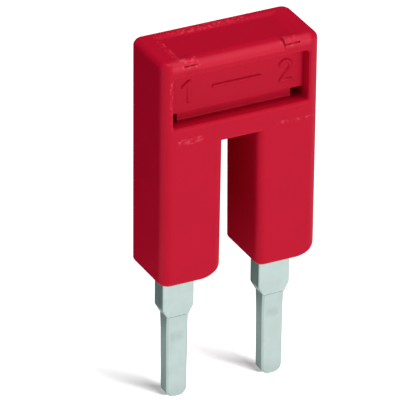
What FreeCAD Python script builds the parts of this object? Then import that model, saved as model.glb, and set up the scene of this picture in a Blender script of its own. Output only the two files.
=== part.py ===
import FreeCAD, Part
import math
import os

# Two-way jumper bar for terminal blocks: a moulded insulating grip, shaped like a square arch, on a
# stamped metal comb whose two plug pins stand out below its legs.
# Millimetres. X runs along the row of terminals, Y to the back, Z up. The origin is under the middle of
# the grip, at the height of the pin tips.

# Heights, stacked from the pin tips upwards
pin_reach = 8.19
leg_length = 8.46
sill_height = 1.32
slot_height = 0.65
panel_height = 2.44
lintel_height = 0.95

# Grip
pitch = 6.0
head_width = 9.67
grip_depth = 4.17
gap_width = 2.12
side_draft = 0.17
gap_draft = 0.54
outer_radius = 0.6
inner_radius = 0.45
top_radius = 0.4
underside_radius = 0.2

# Keyed corner of each foot, on its +X side: an arc that leaves the underside as a tangent
key_run = 1.23
key_rise = 0.75

# Window in the front of the head: a sunk panel, a slot under it and a deep pocket at each end of the slot
jamb = 0.69
panel_sink = 0.68
slot_sink = 1.0
pocket_sink = 3.0
pocket_width = 0.66
window_corner = 0.2
rim_radius = 0.16
slot_root_radius = 0.1

# Tray in the top for a marker strip, open to the front between two lips, with a nick under each lip
tray_width = 6.8
tray_sink = 0.13
tray_back_rim = 1.0
back_ramp = 0.45
side_ramp = 0.5
roll_run = 0.95
roll_drop = 0.52
lip_length = 0.75
lip_depth = 0.45
nick_length = 0.9
nick_height = 0.12
nick_sink = 0.12
nick_drop = 0.21

# Contact comb, set a little behind the middle of the grip
comb_offset = 0.06
comb_thickness = 1.1
shoulder_width = 1.92
shoulder_length = 2.95
shoulder_straight = 2.4
shoulder_radius = 0.35
blade_width = 1.25
blade_taper = 0.41
blade_thickness = 0.9
blade_step = 0.04
coin_length = 1.05
tip_radius = 0.5
blade_break = 0.1
strip_break = 0.05
bar_height = 2.2
bar_radius = 0.5
bar_cover = 0.75
pocket_cover = 0.35

# Levels and faces that follow from them
seat_z = pin_reach
key_z = seat_z + key_rise
arch_z = seat_z + leg_length
slot_z = arch_z + sill_height
panel_z = slot_z + slot_height
window_z = panel_z + panel_height
top_z = window_z + lintel_height
front_y = -grip_depth / 2
back_y = grip_depth / 2
window_x = head_width / 2 - jamb
pocket_x = window_x - pocket_width
tray_x = tray_width / 2
tray_z = top_z - tray_sink
shoulder_z = seat_z - shoulder_length
bar_z = arch_z + bar_cover
comb_front = comb_offset - comb_thickness / 2
comb_back = comb_offset + comb_thickness / 2

# How far a cutter runs past the face that it opens
past = 1.0


def outer_x(z):
    """Half the width of the grip at a height, with the mould's draft."""
    return head_width / 2 - (top_z - z) * math.tan(math.radians(side_draft))


def gap_x(z):
    """Half the width of the gap between the legs at a height."""
    return gap_width / 2 + (arch_z - z) * math.tan(math.radians(gap_draft))


def block(low, high):
    """A box between two opposite corners."""
    size = [b - a for a, b in zip(low, high)]
    return Part.makeBox(*size, FreeCAD.Vector(*low))


def lines(points):
    """Straight edges in the XZ plane through (x, z) points."""
    ends = [FreeCAD.Vector(x, 0, z) for x, z in points]
    return [Part.LineSegment(a, b).toShape() for a, b in zip(ends, ends[1:])]


def slab(edges, y_low, y_high):
    """An outline in the XZ plane, made solid from y_low to y_high."""
    face = Part.Face(Part.Wire(Part.__sortEdges__(edges)))
    face.translate(FreeCAD.Vector(0, y_low, 0))
    return face.extrude(FreeCAD.Vector(0, y_high - y_low, 0))


def rounded(shape, radius, test):
    """The shape with a fillet on each edge that passes the test."""
    return shape.makeFillet(radius, [edge for edge in shape.Edges if test(edge)])


def stands(edge):
    """True for a long edge that runs up a leg."""
    rise = abs(edge.Vertexes[0].Point.z - edge.Vertexes[-1].Point.z)
    return rise > 0.9 * edge.Length and rise > leg_length / 2


def lies_at(edge, z):
    box = edge.BoundBox
    return abs(box.ZMin - z) < 0.01 and abs(box.ZMax - z) < 0.01


def lies_along_x(edge):
    box = edge.BoundBox
    return box.YLength < 0.01 and box.ZLength < 0.01


def lies_along_y(edge):
    box = edge.BoundBox
    return box.XLength < 0.01 and box.ZLength < 0.01


def key_arc(side_x):
    """The keyed corner of a foot, from its flat underside up to its +X side."""
    radius = (key_run ** 2 + key_rise ** 2) / (2 * key_rise)
    half_turn = math.asin(key_run / radius) / 2
    start = FreeCAD.Vector(side_x - key_run, 0, seat_z)
    middle = start + FreeCAD.Vector(radius * math.sin(half_turn), 0, radius * (1 - math.cos(half_turn)))
    return Part.Arc(start, middle, FreeCAD.Vector(side_x, 0, key_z)).toShape()


def arch_outline():
    """The grip seen from the front: a square arch with draft and two keyed feet."""
    left_key = -gap_x(key_z)
    right_key = outer_x(key_z)
    edges = lines([
        (left_key, key_z), (-gap_x(arch_z), arch_z), (gap_x(arch_z), arch_z),
        (gap_x(seat_z), seat_z), (right_key - key_run, seat_z),
    ])
    edges += lines([
        (right_key, key_z), (outer_x(top_z), top_z), (-outer_x(top_z), top_z),
        (-outer_x(seat_z), seat_z), (left_key - key_run, seat_z),
    ])
    return edges + [key_arc(left_key), key_arc(right_key)]


def is_foot_rim(edge):
    """True for an edge round a foot, but not for the line where its flat runs into the keyed arc."""
    box = edge.BoundBox
    starts = (-gap_x(key_z) - key_run, outer_x(key_z) - key_run)
    on_tangent = box.XLength < 0.001 and min(abs(box.XMin - x) for x in starts) < 0.01
    return box.ZMax < key_z + key_rise / 2 and not on_tangent


def arch():
    """The outside of the grip, before anything is sunk into it."""
    body = slab(arch_outline(), front_y, back_y)
    body = rounded(body, outer_radius, lambda e: stands(e) and abs(e.CenterOfMass.x) > pitch / 2)
    body = rounded(body, inner_radius, lambda e: stands(e) and abs(e.CenterOfMass.x) < pitch / 2)
    body = rounded(body, top_radius, lambda e: lies_at(e, top_z))
    for side in (-1, 1):
        body = rounded(body, underside_radius, lambda e: is_foot_rim(e) and e.CenterOfMass.x * side > 0)
    return rounded(body, underside_radius, lambda e: lies_at(e, arch_z) and lies_along_x(e))


def window():
    """What is taken out of the front of the head: the panel's recess, the slot and the two pockets."""
    opening = block((-window_x, front_y - past, slot_z), (window_x, front_y + panel_sink, window_z))
    opening = opening.fuse(block((-window_x, front_y, slot_z), (window_x, front_y + slot_sink, panel_z)))
    root = [e for e in opening.Edges if lies_along_x(e) and lies_at(e, slot_z) and e.CenterOfMass.y > front_y]
    opening = opening.makeFillet(slot_root_radius, root)
    for side in (-1, 1):
        near, far = sorted((side * pocket_x, side * window_x))
        opening = opening.fuse(block((near, front_y, slot_z), (far, front_y + pocket_sink, panel_z)))
    frame = block((-window_x, front_y - past, slot_z), (window_x, back_y, window_z))
    return opening.common(rounded(frame, window_corner, lies_along_y)).removeSplitter()


def on_front(edge):
    box = edge.BoundBox
    return box.YLength < 0.01 and abs(box.YMin - front_y) < 0.01


def is_window_rim(edge):
    middle = edge.CenterOfMass
    return on_front(edge) and abs(middle.x) < window_x + 0.01 and slot_z - 0.01 < middle.z < window_z + 0.01


def curve(points):
    """A smooth edge in the YZ plane, from its four (y, z) poles."""
    made = Part.BezierCurve()
    made.setPoles([FreeCAD.Vector(0, y, z) for y, z in points])
    return made.toShape()


def roll():
    """The front of the tray's mouth: a long soft edge, a quarter of an ellipse from the floor to the front."""
    reach = 4 * (math.sqrt(2) - 1) / 3
    low = tray_z - roll_drop
    return curve([(front_y + roll_run, tray_z), (front_y + roll_run * (1 - reach), tray_z),
                  (front_y, low + roll_drop * reach), (front_y, low)])


def back_wall():
    """The back of the tray: a soft ramp from the floor up to the rim."""
    foot = back_y - tray_back_rim
    return curve([(foot, tray_z), (foot + back_ramp / 2, tray_z),
                  (foot + back_ramp / 2, top_z - tray_sink / 4), (foot + back_ramp, top_z)])


def path(points):
    """Straight edges in the YZ plane through (y, z) points."""
    return Part.makePolygon([FreeCAD.Vector(0, y, z) for y, z in points]).Edges


def prism(edges, reach_x):
    """A closed outline in the YZ plane, made solid to the same distance on both sides."""
    face = Part.Face(Part.Wire(Part.__sortEdges__(edges)))
    face.translate(FreeCAD.Vector(-reach_x, 0, 0))
    return face.extrude(FreeCAD.Vector(2 * reach_x, 0, 0))


def tray():
    """The shallow tray in the top, with sloping walls, and its mouth between the lips."""
    low = tray_z - roll_drop
    foot = back_y - tray_back_rim
    crest = foot + back_ramp
    lip_y = front_y + lip_depth
    ahead = front_y - past
    above = top_z + past
    rim_x = tray_x + side_ramp
    floor = [back_wall()]
    floor += path([(crest, top_z), (crest, above), (lip_y, above), (lip_y, tray_z), (foot, tray_z)])
    walls = [(-tray_x, tray_z), (tray_x, tray_z), (rim_x, top_z), (rim_x, above), (-rim_x, above), (-rim_x, top_z)]
    mouth = [back_wall(), roll()]
    mouth += path([(crest, top_z), (crest, above), (ahead, above), (ahead, low), (front_y, low)])
    mouth += path([(front_y + roll_run, tray_z), (foot, tray_z)])
    pan = prism(floor, rim_x).common(slab(lines(walls + walls[:1]), front_y, back_y))
    return pan, prism(mouth, tray_x - lip_length)


def nicks():
    """The short groove under each lip, in the rolled front edge of the top."""
    grooves = []
    top = top_z - nick_drop
    for side in (-1, 1):
        start = side * (tray_x - lip_length)
        near, far = sorted((start, start + side * nick_length))
        grooves.append(block((near, front_y - past, top - nick_height), (far, front_y + nick_sink, top)))
    return grooves


def housing(comb):
    body = arch().cut(window())
    body = rounded(body, rim_radius, is_window_rim)
    body = body.cut(tray())
    body = body.cut(nicks())
    return body.cut(comb)


def blade_half(z):
    """Half the width of a blade at a height: it narrows towards its tip."""
    return blade_width / 2 + z * math.tan(math.radians(blade_taper))


def blade(centre_x):
    """One plug blade: a tapered strip with a rounded tip, coined thinner than the comb and broken edges."""
    low, high = blade_half(tip_radius), blade_half(shoulder_z)
    tip = low - tip_radius
    bulge = tip_radius * math.sqrt(0.5)
    edges = lines([(centre_x + tip, 0), (centre_x - tip, 0)])
    edges += lines([(centre_x - low, tip_radius), (centre_x - high, shoulder_z),
                    (centre_x + high, shoulder_z), (centre_x + low, tip_radius)])
    for side in (-1, 1):
        foot = FreeCAD.Vector(centre_x + side * tip, 0, 0)
        middle = FreeCAD.Vector(centre_x + side * (tip + bulge), 0, tip_radius - bulge)
        side_end = FreeCAD.Vector(centre_x + side * low, 0, tip_radius)
        edges.append(Part.Arc(foot, middle, side_end).toShape())
    strip = slab(edges, comb_front, comb_back).common(coined_section(centre_x))
    outline = [e for e in strip.Edges if e.BoundBox.ZMin < shoulder_z - 0.01 and on_a_face(e)]
    return strip.makeChamfer(blade_break, outline)


def on_a_face(edge):
    """True for an edge of the comb that lies on its front or its back."""
    return abs(edge.CenterOfMass.y - comb_offset) > blade_thickness / 2 - 0.01


def coined_section(centre_x):
    """The blade seen from its side: a small step at the shoulder, a coined ramp, then an even thickness."""
    thick = comb_thickness / 2 - blade_step
    thin = blade_thickness / 2
    half = [(thick, shoulder_z), (thin, shoulder_z - coin_length), (thin, 0)]
    points = [FreeCAD.Vector(0, comb_offset - y, z) for y, z in half]
    points += [FreeCAD.Vector(0, comb_offset + y, z) for y, z in reversed(half)]
    face = Part.Face(Part.makePolygon(points + points[:1]))
    face.translate(FreeCAD.Vector(centre_x - shoulder_width, 0, 0))
    return face.extrude(FreeCAD.Vector(2 * shoulder_width, 0, 0))


def across(edge):
    """True for an edge that runs through the thickness of the comb."""
    return abs(edge.BoundBox.YLength - comb_thickness) < 0.01


def comb_body():
    """The bridge bar and both shoulders, cut from one strip, with its top corners clear of the pockets."""
    leg = shoulder_width / 2
    neck = blade_half(shoulder_z)
    outer = pitch / 2 + leg
    inner = pitch / 2 - leg
    top_x = pocket_x - pocket_cover
    corner_z = slot_z - pocket_cover
    bar_top = bar_z + bar_height
    straight_z = seat_z - shoulder_straight
    half = [(inner, bar_z), (inner, straight_z), (pitch / 2 - neck, shoulder_z), (pitch / 2 + neck, shoulder_z),
            (outer, straight_z), (outer, corner_z - (outer - top_x)), (top_x, corner_z), (top_x, bar_top)]
    points = half + [(-x, z) for x, z in reversed(half)]
    body = slab(lines(points + points[:1]), comb_front, comb_back)
    for level in (bar_top, bar_z):
        body = rounded(body, bar_radius, lambda e: across(e) and abs(e.CenterOfMass.z - level) < 0.01)
    body = rounded(body, shoulder_radius, lambda e: across(e) and abs(e.CenterOfMass.z - straight_z) < 0.01)
    return body.makeChamfer(strip_break, [e for e in body.Edges if e.BoundBox.YLength < 0.01])


def contact_comb():
    body = comb_body()
    for side in (-1, 1):
        body = body.fuse(blade(side * pitch / 2))
    return body


os.makedirs("parts", exist_ok=True)
comb = contact_comb()
nodes = {"housing": housing(comb), "contact_comb": comb}
for name, shape in nodes.items():
    print(name, shape.isValid(), len(shape.Solids), round(shape.Volume, 3))
    shape.exportStep(f"parts/{name}.step")
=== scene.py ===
import math

import bpy
from mathutils import Matrix, Vector


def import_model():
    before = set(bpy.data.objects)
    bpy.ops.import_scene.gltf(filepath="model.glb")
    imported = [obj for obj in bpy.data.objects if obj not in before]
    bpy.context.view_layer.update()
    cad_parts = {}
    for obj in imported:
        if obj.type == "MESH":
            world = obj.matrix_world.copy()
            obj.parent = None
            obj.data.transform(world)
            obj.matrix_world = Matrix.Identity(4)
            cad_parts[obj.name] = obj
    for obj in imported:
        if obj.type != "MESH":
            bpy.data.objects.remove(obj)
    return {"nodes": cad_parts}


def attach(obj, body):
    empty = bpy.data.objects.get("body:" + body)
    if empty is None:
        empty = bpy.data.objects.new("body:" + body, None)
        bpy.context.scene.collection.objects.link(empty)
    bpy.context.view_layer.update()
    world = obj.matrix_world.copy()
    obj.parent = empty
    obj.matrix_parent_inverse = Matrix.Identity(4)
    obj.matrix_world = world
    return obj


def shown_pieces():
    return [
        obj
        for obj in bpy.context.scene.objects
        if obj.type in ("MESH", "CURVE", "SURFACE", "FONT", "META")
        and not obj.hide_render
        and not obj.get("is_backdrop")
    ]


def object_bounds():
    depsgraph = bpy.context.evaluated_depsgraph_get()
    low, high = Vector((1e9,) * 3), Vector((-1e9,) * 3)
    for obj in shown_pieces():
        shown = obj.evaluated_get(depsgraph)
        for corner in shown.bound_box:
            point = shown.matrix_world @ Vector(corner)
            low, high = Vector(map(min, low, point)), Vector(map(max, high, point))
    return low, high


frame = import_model()
cad_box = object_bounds()

# The scene is in metres. Sizes of the part are written in millimetres and multiplied by MM.
MM = 0.001


class Value:
    """A number or colour that varies over a surface, as an output socket that can be reckoned with."""

    def __init__(self, finish, socket):
        self.finish = finish
        self.socket = socket

    def reckon(self, operation, *others):
        return self.finish.node("ShaderNodeMath", {"operation": operation}, dict(enumerate((self,) + others)))

    def __add__(self, other):
        return self.reckon("ADD", other)

    def __mul__(self, other):
        return self.reckon("MULTIPLY", other)

    __radd__ = __add__
    __rmul__ = __mul__


class Finish:
    """A material, and the nodes that make it."""

    def __init__(self, name):
        self.material = bpy.data.materials.new(name)
        self.material.use_nodes = True
        self.tree = self.material.node_tree
        self.tree.nodes.clear()

    def node(self, kind, settings=None, inputs=None, output=0):
        """One node: its settings, then the numbers, colours or values of its sockets."""
        made = self.tree.nodes.new(kind)
        for name, setting in (settings or {}).items():
            setattr(made, name, setting)
        for name, given in (inputs or {}).items():
            if isinstance(given, Value):
                self.tree.links.new(given.socket, made.inputs[name])
            else:
                made.inputs[name].default_value = given
        return Value(self, made.outputs[output])

    def place(self):
        """Where a point lies on the piece, in millimetres."""
        object_place = self.node("ShaderNodeTexCoord", output="Object")
        return self.node("ShaderNodeVectorMath", {"operation": "SCALE"}, {0: object_place, "Scale": 1 / MM})

    def along(self, vector, axis):
        """One component of a vector: 0 for X, 1 for Y, 2 for Z."""
        return self.node("ShaderNodeSeparateXYZ", inputs={0: vector}, output=axis)

    def noise(self, place, per_mm, detail=2.0, stretch=(1, 1, 1)):
        """Cloudy variation from 0 to 1, with so many blobs a millimetre along each axis."""
        scaled = self.node("ShaderNodeVectorMath", {"operation": "MULTIPLY"}, {0: place, 1: stretch})
        return self.node("ShaderNodeTexNoise", inputs={"Vector": scaled, "Scale": per_mm, "Detail": detail})

    def step(self, value, low, high):
        """0 below low, 1 above high, and smooth between them."""
        settings = {"interpolation_type": "SMOOTHSTEP"}
        return self.node("ShaderNodeMapRange", settings, {"Value": value, "From Min": low, "From Max": high})

    def zone(self, place, low, high, soft):
        """1 inside a box between two corners in millimetres, falling to 0 within a soft border."""
        inside = 1.0
        for axis, (start, end) in enumerate(zip(low, high)):
            level = self.along(place, axis)
            inside = inside * self.step(level, start - soft, start) * self.step(level, end + soft, end)
        return inside

    def blend(self, factor, first, second):
        """A colour between two others."""
        inputs = {"Factor": factor, 6: first, 7: second}
        return self.node("ShaderNodeMix", {"data_type": "RGBA"}, inputs, output=2)

    def bump(self, height, depth_mm):
        inputs = {"Height": height, "Distance": depth_mm * MM, "Strength": 1.0}
        return self.node("ShaderNodeBump", inputs=inputs)

    def seen(self):
        """1 for what is seen directly, in a reflection or through glass, and 0 for light that bounces."""
        rays = [self.node("ShaderNodeLightPath", output=name) for name in SEEN_BY]
        return rays[0] + rays[1] + rays[2]

    def surface(self, **sockets):
        """The finished shader. A socket's name has its spaces as underscores."""
        inputs = {name.replace("_", " "): given for name, given in sockets.items()}
        shader = self.node("ShaderNodeBsdfPrincipled", inputs=inputs)
        output = self.tree.nodes.new("ShaderNodeOutputMaterial")
        self.tree.links.new(shader.socket, output.inputs["Surface"])
        return self.material


# Materials

SEEN_BY = ("Is Camera Ray", "Is Glossy Ray", "Is Transmission Ray")
BLACK = (0, 0, 0, 1)
WHITE = (1, 1, 1, 1)
FELT = (0.01, 0.01, 0.01, 1)
FLOOR_SHADE = (0.86, 0.86, 0.86, 1)
FLOOR_LIGHT = (0.88, 0.88, 0.88, 1)
FLOOR_CLOUDS_PER_MM = 0.004
FLOOR_GLOW = 0.31
PLASTIC_RED = (0.50, 0.003, 0.025, 1)
# The deeper red of the clouds, also used for the shade painted on the tray floor
PLASTIC_DEEP = (0.46, 0.0025, 0.022, 1)
# The pale of the flecks of flash, also used for the highlight painted along the rolled edge
PLASTIC_FLECK_AND_HIGHLIGHT = (0.75, 0.06, 0.10, 1)
PLASTIC_CLOUDS_PER_MM = 0.45
PLASTIC_GRAIN_PER_MM = 9.0
PLASTIC_RELIEF_MM = 0.004
FLECKS_PER_MM = 5.0
TIN = (0.415, 0.505, 0.482, 1)
# The duller tin of the clouds and rubbed spots, also used for the shade painted on the tips
TIN_DULL_AND_SHADED = (0.34, 0.41, 0.395, 1)
# The dark of the pin sides: partly duller sheared edges, partly painted shade
TIN_SHEARED_AND_SHADED = (0.105, 0.155, 0.144, 1)
TIN_CLOUDS_PER_MM = 1.2
TIN_LINES_PER_MM = 14.0
TIN_LINES_STRETCH = (1, 1, 0.06)
TIN_RELIEF_MM = 0.002
RUBBED_SPECKS_PER_MM = 5.0

# Shade painted on the floor of the tray in the top, a little deeper in tone, between two corners in
# millimetres
TRAY_FLOOR_SHADE = ((-3.45, -1.2, 21.80), (3.45, 1.15, 21.88))

# A highlight painted along the rolled front edge of the top, between two corners in millimetres
ROLLED_EDGE_HIGHLIGHT = ((-4.10, -2.2, 21.62), (4.10, -1.74, 21.86))

# Where the moulding shows flash and rubbed edges, between two corners in millimetres
FLASH_ZONES = (
    ((-3.85, -2.2, 16.95), (-2.35, -2.0, 17.25)),
    ((2.20, -2.2, 16.95), (4.70, -1.6, 17.05)),
    ((-4.34, -2.2, 18.10), (-4.12, -1.9, 21.00)),
    ((-3.60, -2.2, 21.60), (-2.55, -1.6, 22.10)),
    ((2.55, -2.2, 21.60), (3.50, -1.6, 22.10)),
    ((-3.80, -1.7, 21.80), (-3.45, 1.0, 22.10)),
    ((-2.80, 1.3, 21.80), (2.00, 1.7, 22.10)),
)

# Where the tin is rubbed dull by its last use, on the front of each pin, and how far up from the tips shade
# is painted, darker towards the bottom
RUBBED_ZONES = (
    ((-3.30, -0.6, 3.85), (-2.80, 0.0, 4.05)),
    ((2.75, -0.6, 3.95), (3.20, 0.0, 4.10)),
)
TIP_SHADE = 1.5


def moulded_plastic():
    """Satin red polyamide: clouds in the colour, a fine grain, flecks of flash, shade painted on the tray
    floor and a highlight painted along the rolled edge.
    """
    finish = Finish("moulded_red_plastic")
    place = finish.place()
    clouds = finish.step(finish.noise(place, PLASTIC_CLOUDS_PER_MM), 0.3, 0.7)
    grain = finish.noise(place, PLASTIC_GRAIN_PER_MM, detail=3.0)
    near_edge = sum(finish.zone(place, low, high, soft=0.20) for low, high in FLASH_ZONES)
    flecks = finish.step(near_edge * finish.noise(place, FLECKS_PER_MM, detail=2.0), 0.46, 0.72)
    # Random clouds deepen the red, and shade is painted over the sunk floor of the tray
    deep = 0.4 * clouds + finish.zone(place, *TRAY_FLOOR_SHADE, soft=0.05)
    # Pale flecks of flash, and a highlight painted along the rolled front edge
    flecks_and_edge_highlight = 0.6 * flecks + 0.27 * finish.zone(place, *ROLLED_EDGE_HIGHLIGHT, soft=0.25)
    return finish.surface(
        Base_Color=finish.blend(flecks_and_edge_highlight, finish.blend(deep, PLASTIC_RED, PLASTIC_DEEP), PLASTIC_FLECK_AND_HIGHLIGHT),
        Roughness=0.40 + 0.10 * grain,
        Specular_IOR_Level=0.09,
        Normal=finish.bump(grain + 2.0 * flecks, PLASTIC_RELIEF_MM),
    )


def tin_plating():
    """Dull tin over stamped copper: drawn lines, rubbed spots, shade painted on the tips, and dark sides that
    are partly duller sheared edges and partly painted shade.
    """
    finish = Finish("tin_plating")
    place = finish.place()
    lines = finish.noise(place, TIN_LINES_PER_MM, detail=3.0, stretch=TIN_LINES_STRETCH)
    clouds = finish.step(finish.noise(place, TIN_CLOUDS_PER_MM), 0.35, 0.7)
    rubbed = sum(finish.zone(place, low, high, soft=0.35) for low, high in RUBBED_ZONES)
    # Shade painted on the tips, darker towards the bottom
    tip_shade = finish.step(finish.along(place, 2), TIP_SHADE, 0.0)
    specks = finish.noise(place, RUBBED_SPECKS_PER_MM, detail=4.0)
    dull_and_tip_shade = 0.3 * clouds + 0.7 * tip_shade + 1.3 * rubbed * specks
    # Faces turned away from front and back, the sides and chamfers, are darker: partly the duller sheared
    # edge, partly painted shade
    facing = finish.node("ShaderNodeTexCoord", output="Normal")
    sheared_and_shade = finish.step(finish.along(facing, 1).reckon("ABSOLUTE"), 0.87, 0.31)
    return finish.surface(
        Base_Color=finish.blend(sheared_and_shade, finish.blend(dull_and_tip_shade, TIN, TIN_DULL_AND_SHADED), TIN_SHEARED_AND_SHADED),
        Metallic=1.0,
        Roughness=0.34 + 0.16 * lines,
        Normal=finish.bump(lines, TIN_RELIEF_MM),
    )


def floor_white():
    """Matt white. To the camera, and in reflections, a glow of its own takes it to a clean white."""
    finish = Finish("floor_white")
    clouds = finish.noise(finish.place(), FLOOR_CLOUDS_PER_MM)
    return finish.surface(
        Base_Color=finish.blend(clouds, FLOOR_SHADE, FLOOR_LIGHT),
        Roughness=0.9,
        Specular_IOR_Level=0.0,
        Emission_Color=finish.blend(finish.seen(), BLACK, WHITE),
        Emission_Strength=FLOOR_GLOW,
    )


def wear(piece, material):
    piece.data.materials.clear()
    piece.data.materials.append(material)


red_plastic = moulded_plastic()
wear(frame["nodes"]["housing"], red_plastic)
wear(frame["nodes"]["contact_comb"], tin_plating())

# Raised marks on the sunk panel: the number of each pin above it, and a bar between them.
# They are half-round beads of one width, drawn about the middle of the mark with X across and Y up.

PITCH = 6.0
COMB_Y = 0.06
PANEL_SUNK = 0.68
PANEL_Y = cad_box[0].y / MM + PANEL_SUNK
MARKS_Z = 19.80
MARK_HEIGHT = 1.50
MARK_WIDTH = 0.92
BEAD = 0.15
BEAD_SUNK = 0.06
BEAD_SIDES = 16
ARC_STEPS = 20
LINK_LENGTH = 2.8

# The stem of the 1 and how far its flag reaches aside and down, and where the bowl of the 2 starts and
# ends, in degrees, with the short stroke that rounds off its end
ONE_STEM = 0.08
ONE_FLAG = (0.34, 0.24)
TWO_BOWL = (-38, 168)
TWO_HOOK = 0.01


def select(piece):
    bpy.ops.object.select_all(action="DESELECT")
    piece.select_set(True)
    bpy.context.view_layer.objects.active = piece


def edit(piece, *steps):
    """Runs steps in edit mode with the whole piece selected."""
    select(piece)
    bpy.ops.object.mode_set(mode="EDIT")
    bpy.ops.mesh.select_all(action="SELECT")
    for step in steps:
        step()
    bpy.ops.object.mode_set(mode="OBJECT")


def settle(piece):
    """Puts a piece's place and turn into its mesh."""
    select(piece)
    bpy.ops.object.transform_apply(location=True, rotation=True, scale=True)
    return piece


def stroke(start, end):
    """A straight bead with round ends: a ball whose far half is drawn out to the end."""
    run = Vector(end) - Vector(start)
    bpy.ops.object.select_all(action="DESELECT")
    bpy.ops.mesh.primitive_uv_sphere_add(segments=BEAD_SIDES, ring_count=BEAD_SIDES, radius=BEAD * MM)
    ball = bpy.context.object
    far = [v.index for v in ball.data.vertices if v.co.z > 0]

    def draw_out():
        bpy.ops.mesh.select_all(action="DESELECT")
        bpy.ops.object.mode_set(mode="OBJECT")
        for index in far:
            ball.data.vertices[index].select = True
        bpy.ops.object.mode_set(mode="EDIT")
        bpy.ops.transform.translate(value=(0, 0, run.length * MM))

    edit(ball, draw_out)
    ball.rotation_euler = Vector((run.x, run.y, 0)).to_track_quat("Z", "Y").to_euler()
    ball.location = Vector((start[0], start[1], 0)) * MM
    return settle(ball)


def on_circle(middle, radius, degrees):
    """A point on a circle, at an angle."""
    angle = math.radians(degrees)
    return middle[0] + radius * math.cos(angle), middle[1] + radius * math.sin(angle)


def arc(middle, radius, first, last):
    """A bead along an arc between two angles in degrees: a circle spun about the arc's middle."""
    bpy.ops.object.select_all(action="DESELECT")
    bpy.ops.mesh.primitive_circle_add(vertices=BEAD_SIDES, radius=BEAD * MM)
    ring = bpy.context.object
    ring.rotation_euler = (math.radians(90), 0, math.radians(first))
    ring.location = Vector((*on_circle(middle, radius, first), 0)) * MM
    settle(ring)
    centre = Vector((middle[0], middle[1], 0)) * MM
    turn = math.radians(first - last)
    edit(
        ring,
        lambda: bpy.ops.mesh.spin(steps=ARC_STEPS, angle=turn, center=centre, axis=(0, 0, 1)),
        lambda: bpy.ops.mesh.select_all(action="SELECT"),
        lambda: bpy.ops.mesh.fill_holes(sides=0),
        lambda: bpy.ops.mesh.select_all(action="SELECT"),
        lambda: bpy.ops.mesh.normals_make_consistent(inside=False),
    )
    return ring


def fuse(pieces):
    """One closed mesh out of beads that run into each other."""
    body = pieces[0]
    for other in pieces[1:]:
        union = body.modifiers.new("union", "BOOLEAN")
        union.operation = "UNION"
        union.solver = "EXACT"
        union.object = other
        select(body)
        bpy.ops.object.modifier_apply(modifier=union.name)
        bpy.data.objects.remove(other)
    return body


def on_panel(mark, name, x):
    """Stands a mark up against the panel at x, and makes it part of the moulding."""
    mark.name = name
    mark.location = Vector((x, PANEL_Y + BEAD_SUNK, MARKS_Z)) * MM
    mark.rotation_euler = (math.radians(90), 0, 0)
    settle(mark)
    bpy.ops.object.shade_smooth()
    wear(mark, red_plastic)
    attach(mark, "root")


def numeral_one():
    top = MARK_HEIGHT / 2 - BEAD
    head = (ONE_STEM, top)
    flag = (ONE_STEM - ONE_FLAG[0], top - ONE_FLAG[1])
    return fuse([stroke(head, (ONE_STEM, -top)), stroke(head, flag)])


def numeral_two():
    top = MARK_HEIGHT / 2 - BEAD
    side = MARK_WIDTH / 2 - BEAD
    bowl = (0, top - side)
    waist, hook = (on_circle(bowl, side, degrees) for degrees in TWO_BOWL)
    return fuse([
        arc(bowl, side, *TWO_BOWL),
        stroke(waist, (-side, -top)),
        stroke((-side, -top), (side, -top)),
        stroke(hook, (hook[0], hook[1] - TWO_HOOK)),
    ])


on_panel(numeral_one(), "numeral_1", -PITCH / 2)
on_panel(stroke((-LINK_LENGTH / 2, 0), (LINK_LENGTH / 2, 0)), "link_bar", 0)
on_panel(numeral_two(), "numeral_2", PITCH / 2)

# Floor, light and camera

FLOOR_SIZE = 3.0
WORLD_LIGHT = 0.08

# Softboxes: the direction each stands in, and its distance, side and power, in metres and watts.
# The first four light the part, the fifth lights the comb alone, and the last two light the floor alone.
FRONT_BOX = (Vector((0.25, -0.95, 0.16)), 0.35, 0.11, 0.55)
TOP_BOX = (Vector((0.05, -0.12, 1.00)), 0.30, 0.11, 0.70)
LEFT_BOX = (Vector((-1.00, -0.10, 0.12)), 0.30, 0.15, 0.21)
BACK_BOX = (Vector((0.60, 0.80, 0.05)), 0.30, 0.06, 0.36)
PIN_BOX = (Vector((-0.92, 0.38, 0.03)), 0.30, 0.10, 2.4)
STEEP_BOX = (Vector((0.31, -0.86, 1.35)), 0.80, 0.24, 4.1)
FLAT_BOX = (Vector((0.61, -0.79, 0.92)), 0.80, 0.24, 5.5)

# A black card that the camera doesn't see leans behind the part, and keeps the left sides deep in tone
CARD_SIZE = 400.0
CARD_LEAN = 25.0
CARD_MIDDLE = (-60.0, 188.0, 85.0)

# A tapered post inside each pin, which is all that shades the two floor lamps
POST_FOOT_WIDTH = 1.22
POST_HEAD_WIDTH = 1.00
POST_FLATNESS = 0.7
POST_HEIGHT = 8.0
POST_FOOT = 0.4
POST_SIDES = 24


def floor():
    bpy.ops.mesh.primitive_plane_add(size=FLOOR_SIZE)
    plane = bpy.context.object
    plane.name = "floor"
    wear(plane, floor_white())
    plane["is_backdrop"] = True
    return plane


def group(name, *pieces):
    made = bpy.data.collections.new(name)
    for piece in pieces:
        made.objects.link(piece)
    return made


def world():
    made = bpy.data.worlds.new("studio")
    made.use_nodes = True
    background = made.node_tree.nodes["Background"]
    background.inputs["Color"].default_value = (1, 1, 1, 1)
    background.inputs["Strength"].default_value = WORLD_LIGHT
    bpy.context.scene.world = made


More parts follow.
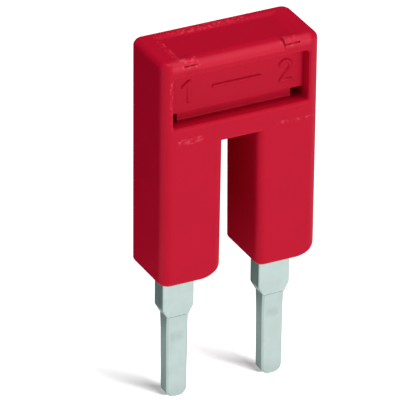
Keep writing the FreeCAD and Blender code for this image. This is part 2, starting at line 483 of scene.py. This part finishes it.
def softbox(name, towards, distance, size, power):
    """A square lamp that looks at the middle of the part."""
    lamp = bpy.data.lights.new(name, "AREA")
    lamp.size = size
    lamp.energy = power
    holder = bpy.data.objects.new(name, lamp)
    middle = (cad_box[0] + cad_box[1]) / 2
    direction = towards.normalized()
    holder.location = middle + direction * distance
    holder.rotation_euler = direction.to_track_quat("Z", "Y").to_euler()
    bpy.context.scene.collection.objects.link(holder)
    return holder


def aside(piece, name, **rays):
    """Names a stage piece, and hides it from the given kinds of rays."""
    piece.name = name
    for ray in rays:
        setattr(piece, f"visible_{ray}", rays[ray])
    finish = Finish(name)
    felt = finish.blend(finish.noise(finish.place(), 1.0), BLACK, FELT)
    wear(piece, finish.surface(Base_Color=felt, Roughness=1.0, Specular_IOR_Level=0.0))
    piece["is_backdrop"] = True
    return piece


def card():
    bpy.ops.mesh.primitive_plane_add(size=CARD_SIZE * MM, location=Vector(CARD_MIDDLE) * MM)
    sheet = bpy.context.object
    sheet.rotation_euler.x = math.radians(CARD_LEAN)
    return aside(sheet, "black_card", camera=False, shadow=False)


def post(x):
    foot, head, height = (size * MM for size in (POST_FOOT_WIDTH / 2, POST_HEAD_WIDTH / 2, POST_HEIGHT))
    bpy.ops.mesh.primitive_cone_add(vertices=POST_SIDES, radius1=foot, radius2=head, depth=height)
    stake = bpy.context.object
    stake.location = Vector((x, COMB_Y, POST_FOOT + POST_HEIGHT / 2)) * MM
    stake.scale.y = POST_FLATNESS
    return aside(stake, f"post_{x:+.0f}", camera=False, diffuse=False, glossy=False)


# Camera, fitted to the photograph: the direction it looks from, its roll, and where it stands
CAMERA_AZIMUTH = -26.83
CAMERA_ELEVATION = 28.435
CAMERA_ROLL = 0.554
CAMERA_DISTANCE = 339.248
CAMERA_ASIDE = -1.209
CAMERA_RAISED = 10.283
CAMERA_LENS = 540.0


def camera():
    azimuth, elevation, roll = (math.radians(a) for a in (CAMERA_AZIMUTH, CAMERA_ELEVATION, CAMERA_ROLL))
    level = math.cos(elevation)
    back = Vector((math.sin(azimuth) * level, -math.cos(azimuth) * level, math.sin(elevation)))
    right = Vector((math.cos(azimuth), math.sin(azimuth), 0))
    turn = Matrix((right, back.cross(right), back)).transposed() @ Matrix.Rotation(roll, 3, "Z")
    place = turn @ Vector((CAMERA_ASIDE, CAMERA_RAISED, CAMERA_DISTANCE)) * MM
    lens = bpy.data.cameras.new("camera")
    lens.lens = CAMERA_LENS
    lens.clip_start = 0.01
    seen = bpy.data.objects.new("camera", lens)
    seen.matrix_world = Matrix.Translation(place) @ turn.to_4x4()
    bpy.context.scene.collection.objects.link(seen)
    bpy.context.scene.camera = seen


ground = floor()
card()
world()
part_lit = group("part_lit", *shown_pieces())
part_boxes = {"front_box": FRONT_BOX, "top_box": TOP_BOX, "left_box": LEFT_BOX, "back_box": BACK_BOX}
for name, box in part_boxes.items():
    softbox(name, *box).light_linking.receiver_collection = part_lit

# The lamp behind leaves no sheen on the top
bpy.data.objects["back_box"].visible_glossy = False

comb_lit = group("comb_lit", frame["nodes"]["contact_comb"])
softbox("pin_box", *PIN_BOX).light_linking.receiver_collection = comb_lit
floor_lit = group("floor_lit", ground)
posts = group("posts", post(-PITCH / 2), post(PITCH / 2))
for name, box in {"steep_box": STEEP_BOX, "flat_box": FLAT_BOX}.items():
    linking = softbox(name, *box).light_linking
    linking.receiver_collection = floor_lit
    linking.blocker_collection = posts
camera()
bpy.context.scene.view_settings.view_transform = "Standard"
